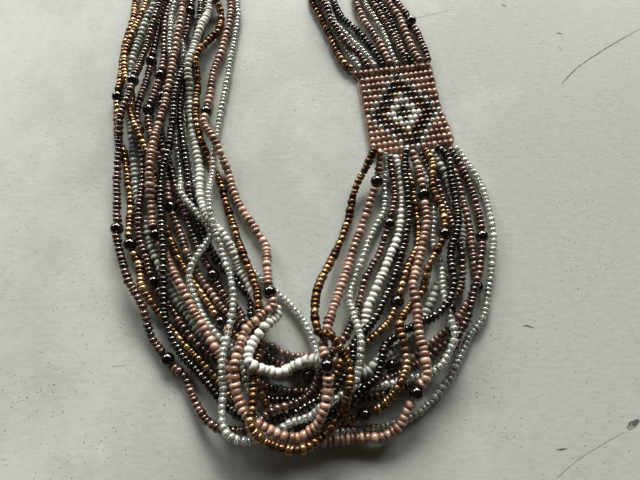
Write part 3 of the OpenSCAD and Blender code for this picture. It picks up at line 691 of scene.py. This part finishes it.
# the single beads were only copied, and leave the scene
for bead in (*beadObjects.values(), panelBead):
    bpy.data.objects.remove(bead)


# round beads and clasp keep their CAD shapes

def finishNode(node, material):
    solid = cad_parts[node]
    solid.data.materials.clear()
    solid.data.materials.append(material)


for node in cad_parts:
    if node.startswith("dark_bead_"):
        finishNode(node, beadMaterials["dark"])
finishNode("clasp", claspMaterial)
print("round beads and clasp finished")


# table, light and camera

table = {
    "size": 1.6,
    # the dull paint is where the clouds are dull, and on the right it is also painted shade
    "paint": (0.59, 0.6, 0.563), "dullAndShadedPaint": (0.502, 0.51, 0.482), "dirtAndShade": (0.13, 0.13, 0.12),
    "roughness": 0.37, "specular": 0.18, "bump": 0.15, "bumpDepth": 0.0003,
    # scale, detail and roughness of each noise
    "clouds": (22, 12, 0.68), "patches": (60, 4, 0.5), "brush": (330, 6, 0.7),
    # the clouds' levels of dull and bright paint, and how much the clouds sink in a metre to the right,
    # which is painted shade: the paint darkens to the right, where less light falls
    "dullAndShadedLevel": 0.48, "brightLevel": 0.67, "paintedShadeToRight": 1.3,
    "brushStretch": (1, 2.6, 1), "mottle": 0.2,
    # cells to a metre, size of a speck in its cell, and the product of the cell's number and the patch
    # where a speck is full; at speckFade of that it is gone
    "specks": [(1100, 0.16, 0.44), (450, 0.09, 0.54)], "speckFade": 0.8,
    "speckBend": 3,    # noise this much finer than the cells bends the edge of a speck
}
# scale and levels of the dirt and painted shade, height of the strips over the paint, and their half widths
# as shares
scratchLook = {"scale": 700, "dirtAndShadeLevel": 0.5, "paintLevel": 0.75, "roughness": 0.7,
               "height": 0.00003, "halfWidth": 0.5, "halfWidthAtEnd": 0.2}

# scratches, dents and a blot as dark lines on the table: width, then x and y along them; in the dents the
# dark is painted shade in their hollows
scratches = [
    (0.00034, [(0.0947, -0.0039), (0.0977, -0.0006), (0.1021, 0.0038), (0.1074, 0.0077), (0.1138, 0.0122),
               (0.1201, 0.0162), (0.1288, 0.0216)]),
    (0.00012, [(0.0717, -0.1305), (0.076, -0.1274), (0.0809, -0.1244), (0.0875, -0.1212),
               (0.0924, -0.1189)]),
    (0.002, [(0.0936, -0.1181), (0.0949, -0.1171), (0.0972, -0.1158)]),
    (0.0005, [(0.0688, -0.0898), (0.07, -0.0897), (0.072, -0.0904)]),
    (0.0004, [(0.0722, -0.0945), (0.0721, -0.0949)]),
    (0.0004, [(0.072, -0.0962), (0.0719, -0.0966)]),
    (0.0004, [(0.0716, -0.0982), (0.0715, -0.0986)]),
    (0.0005, [(0.0732, -0.1234), (0.0743, -0.1233), (0.076, -0.1231)]),
    (0.0006, [(0.0782, 0.0333), (0.0793, 0.0328), (0.0803, 0.0321)]),
    (0.0006, [(0.0969, 0.0191), (0.098, 0.0194), (0.0993, 0.019)]),
    (0.0002, [(0.0966, 0.0139), (0.0971, 0.0125), (0.0977, 0.0112)]),
    (0.00014, [(0.0325, 0.024), (0.045, 0.0265), (0.058, 0.0305)]),
    (0.0003, [(-0.1105, 0.011), (-0.1095, 0.006), (-0.1085, 0.001)]),
    (0.0006, [(-0.118, 0.039), (-0.1165, 0.0393), (-0.115, 0.0388)]),
    (0.00014, [(-0.1265, -0.0095), (-0.121, -0.015), (-0.118, -0.0195)]),
    (0.0002, [(-0.051, -0.1015), (-0.047, -0.101)]),
]


def speckled(tree, place, patches, colour, cells, size, share):
    # one speck in the middle of a cell, where the cell's own number and the patch together are high
    specks = newNode(tree, "ShaderNodeTexVoronoi", {"Vector": place, "Scale": cells})
    bent = noise(tree, place, cells * table["speckBend"])
    near = arithmetic(tree, "MULTIPLY", bent.outputs["Fac"], size * 2)    # noise is about a half
    inside = arithmetic(tree, "LESS_THAN", specks.outputs["Distance"], near)
    lone = newNode(tree, "ShaderNodeSeparateColor", {"Color": specks.outputs["Color"]})
    dirty = arithmetic(tree, "MULTIPLY", lone.outputs["Red"], patches)
    picked = newNode(tree, "ShaderNodeMapRange",
                     {"Value": dirty, "From Min": share * table["speckFade"], "From Max": share})
    amount = arithmetic(tree, "MULTIPLY", inside, picked.outputs["Result"])
    return colourMix(tree, "MIX", amount, colour, (*table["dirtAndShade"], 1))


def tablePaint():
    # clouded paint with tiny specks of dirt, thicker in some places than in others, and painted shade that
    # darkens it to the right
    material, tree, shader, place = newMaterial("tablePaint")
    clouds = noise(tree, place, *table["clouds"])
    patches = noise(tree, place, *table["patches"])
    # painted shade: the paint darkens to the right, where less light falls
    across = newNode(tree, "ShaderNodeSeparateXYZ", {"Vector": place})
    cloudsAndShade = arithmetic(tree, "MULTIPLY_ADD", across.outputs["X"], -table["paintedShadeToRight"], clouds.outputs["Fac"])
    paint = colourStops(tree, cloudsAndShade, [(table["dullAndShadedLevel"], table["dullAndShadedPaint"]),
                                      (table["brightLevel"], table["paint"])])
    # brush marks run from left to right
    brush = noise(tree, stretched(tree, place, table["brushStretch"]), *table["brush"]).outputs["Fac"]
    colour = colourMix(tree, "OVERLAY", table["mottle"], paint, brush)
    for cells, size, share in table["specks"]:
        colour = speckled(tree, place, patches.outputs["Fac"], colour, cells, size, share)
    tree.links.new(colour, shader.inputs["Base Color"])
    addBump(tree, shader, brush, table["bump"], table["bumpDepth"])
    shader.inputs["Roughness"].default_value = table["roughness"]
    shader.inputs["Specular IOR Level"].default_value = table["specular"]
    return material


def scratchPaint():
    material, tree, shader, place = newMaterial("scratchDirtAndShade")
    broken = noise(tree, place, scratchLook["scale"])
    # dirt in the scratches and painted shade in the dents, broken up by noise with the paint
    colour = colourStops(tree, broken.outputs["Fac"], [(scratchLook["dirtAndShadeLevel"], table["dirtAndShade"]),
                                                       (scratchLook["paintLevel"], table["dullAndShadedPaint"])])
    tree.links.new(colour, shader.inputs["Base Color"])
    shader.inputs["Roughness"].default_value = scratchLook["roughness"]
    return material


def tableScratches():
    # narrow strips that taper at both ends, a hair above the paint
    points = []
    faces = []
    for width, line in scratches:
        first = len(points)
        spots = [Vector((x, y, scratchLook["height"])) for x, y in line]
        last = len(spots) - 1
        for k, spot in enumerate(spots):
            way = (spots[min(k + 1, last)] - spots[max(k - 1, 0)]).normalized()
            half = scratchLook["halfWidthAtEnd"] if k in (0, last) else scratchLook["halfWidth"]
            side = Vector((-way.y, way.x, 0)) * width * half
            points += [spot - side, spot + side]
        faces += [(k, k + 2, k + 3, k + 1) for k in range(first, first + 2 * last, 2)]
    mesh = bpy.data.meshes.new("tableScratches")
    mesh.from_pydata(points, [], faces)
    mesh.materials.append(scratchPaint())
    newObject("tableScratches", mesh)


def tableTop():
    half = table["size"] / 2
    corners = [(-half, -half, 0), (half, -half, 0), (half, half, 0), (-half, half, 0)]
    mesh = bpy.data.meshes.new("tableTop")
    mesh.from_pydata(corners, [], [(0, 1, 2, 3)])
    mesh.materials.append(tablePaint())
    newObject("tableTop", mesh)


# a wide row of three low windows beyond the top of the loop, and a dim room; angles in degrees
daylightRow = {
    "low": 19, "high": 40, "colour": (0.985, 1, 0.975),
    # where each window begins and ends, from left to right, how far away it is, and its brightness
    "windows": [(-58, -30, 2.5, 8), (-15, 15, 8.0, 25), (24, 45, 8.0, 9)],
    "room": (1, 0.81, 0.62), "roomBrightness": 0.055,
}


def windowLight(name, left, right, away, brightness):
    # a lamp as wide and high as the window looks from the table
    low, high = daylightRow["low"], daylightRow["high"]
    middle, up = math.radians((left + right) / 2), math.radians((low + high) / 2)
    data = bpy.data.lights.new(name, "AREA")
    data.shape = "RECTANGLE"
    data.size = 2 * away * math.cos(up) * math.tan(math.radians(right - left) / 2)
    data.size_y = 2 * away * math.tan(math.radians(high - low) / 2)
    data.energy = brightness * math.pi * data.size * data.size_y
    data.color = daylightRow["colour"]
    lamp = newObject(name, data)
    lamp.location = (away * math.cos(up) * math.sin(middle), away * math.cos(up) * math.cos(middle),
                     away * math.sin(up))
    lamp.rotation_euler = (-lamp.location).to_track_quat("-Z", "Y").to_euler()


def daylight():
    world = bpy.data.worlds.new("room")
    world.use_nodes = True
    room = world.node_tree.nodes["Background"]
    room.inputs["Color"].default_value = (*daylightRow["room"], 1)
    room.inputs["Strength"].default_value = daylightRow["roomBrightness"]
    bpy.context.scene.world = world
    for number, window in enumerate(daylightRow["windows"]):
        windowLight("window" + str(number + 1), *window)


# the camera stands over the lower part of the loop and leans towards the top; tilt in degrees,
# lens and film in millimetres
photoView = {"x": 0.00881, "y": -0.11442, "height": 0.142, "tilt": 20.0, "lens": 27.0, "filmWidth": 36.0,
             "nearest": 0.01, "gamma": 0.85, "exposure": 0.06}


def camera():
    data = bpy.data.cameras.new("photoCamera")
    data.lens = photoView["lens"]
    data.sensor_width = photoView["filmWidth"]
    data.clip_start = photoView["nearest"]
    data.dof.use_dof = False
    eye = newObject("photoCamera", data)
    eye.location = (photoView["x"], photoView["y"], photoView["height"])
    eye.rotation_euler = (math.radians(photoView["tilt"]), 0, 0)
    bpy.context.scene.camera = eye
    bpy.context.scene.view_settings.view_transform = "Standard"
    bpy.context.scene.view_settings.gamma = photoView["gamma"]
    bpy.context.scene.view_settings.exposure = photoView["exposure"]


tableTop()
tableScratches()
daylight()
camera()
print("table, light and camera set")
